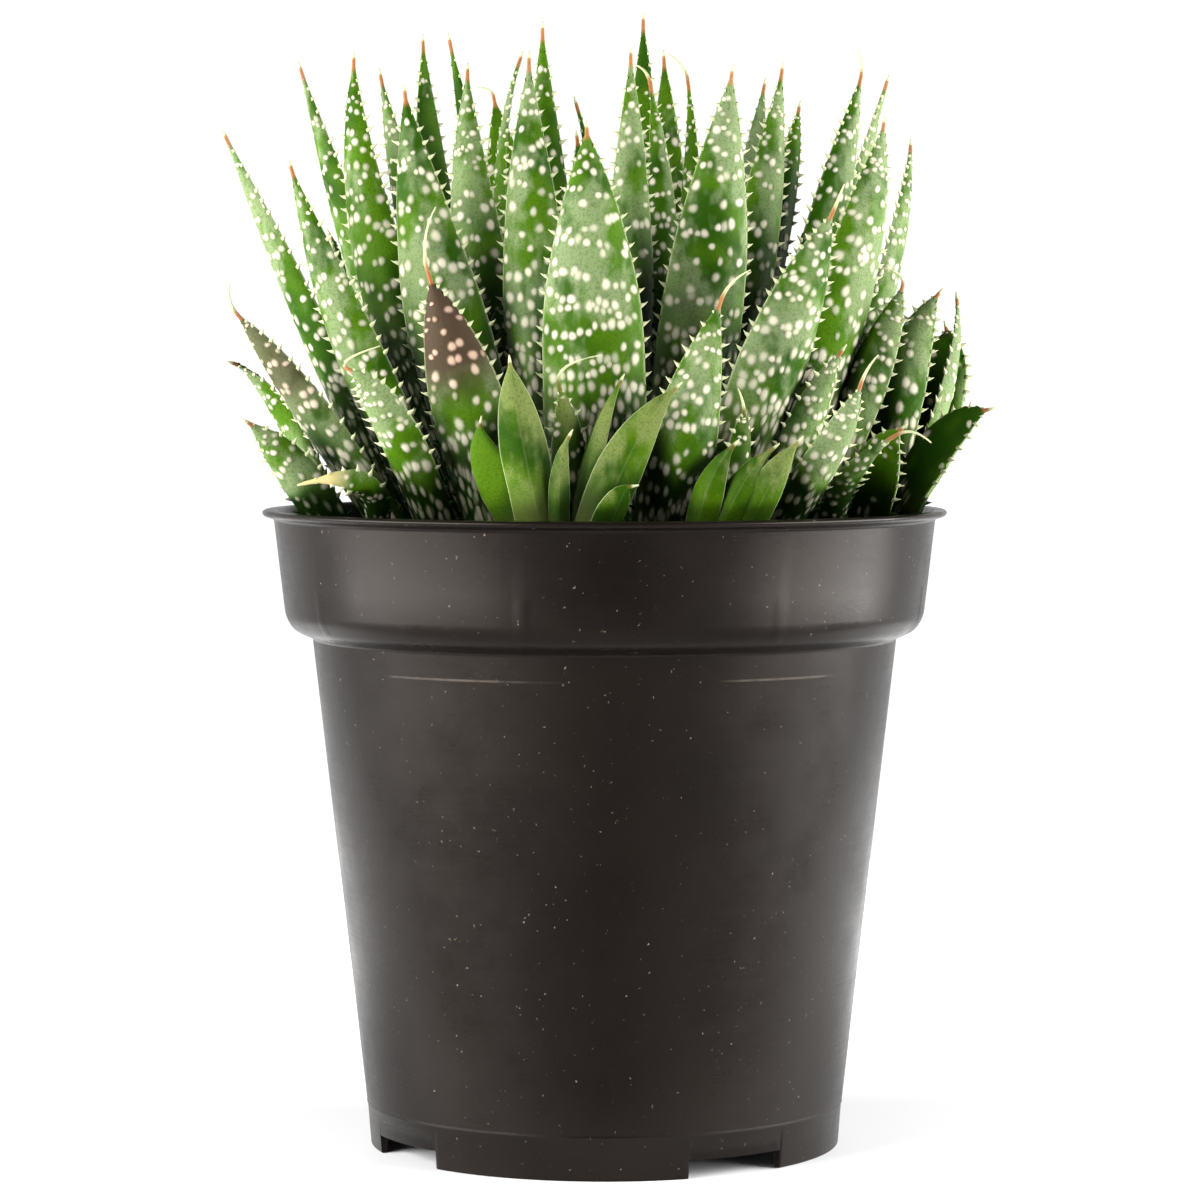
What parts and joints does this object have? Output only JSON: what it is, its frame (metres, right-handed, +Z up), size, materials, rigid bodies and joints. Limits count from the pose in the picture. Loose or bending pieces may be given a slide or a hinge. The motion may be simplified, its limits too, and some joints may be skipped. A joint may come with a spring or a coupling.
{
  "type": "potted haworthia",
  "caption": "Clump of upright spotted succulent leaves with toothed margins and small offsets, in a plain round tapering nursery pot.",
  "frame": {"origin": "on the table under the middle of the plant's box, which is the pot's axis to within 1.4 mm", "axes": "+Z up along the pot's axis; -Y to the front, where the small smooth offsets stand; +X to the right seen from the front"},
  "size_m": [0.1336, 0.1204, 0.2001],
  "materials": {
    "pot_plastic": "satin black-brown moulded plastic",
    "soil": "dark crumbly peat and bark mix",
    "crown": "pale waxy stem",
    "leaf": "waxy green with raised cream spots and white teeth",
    "smooth_leaf": "smooth satin green"
  },
  "bodies": {
    "root": {"crown": "crown", "main_leaf_01": "leaf", "main_leaf_02": "leaf", "main_leaf_03": "leaf", "main_leaf_04": "leaf", "main_leaf_05": "leaf", "main_leaf_06": "leaf", "main_leaf_07": "leaf", "main_leaf_08": "leaf", "main_leaf_09": "leaf", "main_leaf_10": "leaf", "main_leaf_11": "leaf", "main_leaf_12": "leaf", "main_leaf_13": "leaf", "main_leaf_14": "leaf", "main_leaf_15": "leaf", "main_leaf_16": "leaf", "main_leaf_17": "leaf", "main_leaf_18": "leaf", "main_leaf_19": "leaf", "main_leaf_20": "leaf", "main_leaf_21": "leaf", "main_leaf_22": "leaf", "main_leaf_23": "leaf", "main_leaf_24": "leaf", "main_leaf_25": "leaf", "main_leaf_26": "leaf", "main_leaf_27": "leaf", "main_leaf_28": "leaf", "main_leaf_29": "leaf", "main_leaf_30": "leaf", "main_leaf_31": "leaf", "main_leaf_32": "leaf", "main_leaf_33": "leaf", "main_leaf_34": "leaf", "main_leaf_35": "leaf", "main_leaf_36": "leaf", "main_leaf_37": "leaf", "main_leaf_38": "leaf", "main_leaf_39": "leaf", "main_leaf_40": "leaf", "main_leaf_41": "leaf", "main_leaf_42": "leaf", "main_leaf_43": "leaf", "main_leaf_44": "leaf", "main_leaf_45": "leaf", "main_leaf_46": "leaf", "main_leaf_47": "leaf", "main_leaf_48": "leaf", "offset_back_left": "leaf", "offset_back_right": "leaf", "offset_front_right": "smooth_leaf", "offset_front_smooth": "smooth_leaf", "offset_left": "leaf", "offset_right": "leaf", "pot": "pot_plastic", "soil": "soil"}
  },
  "joints": []
}
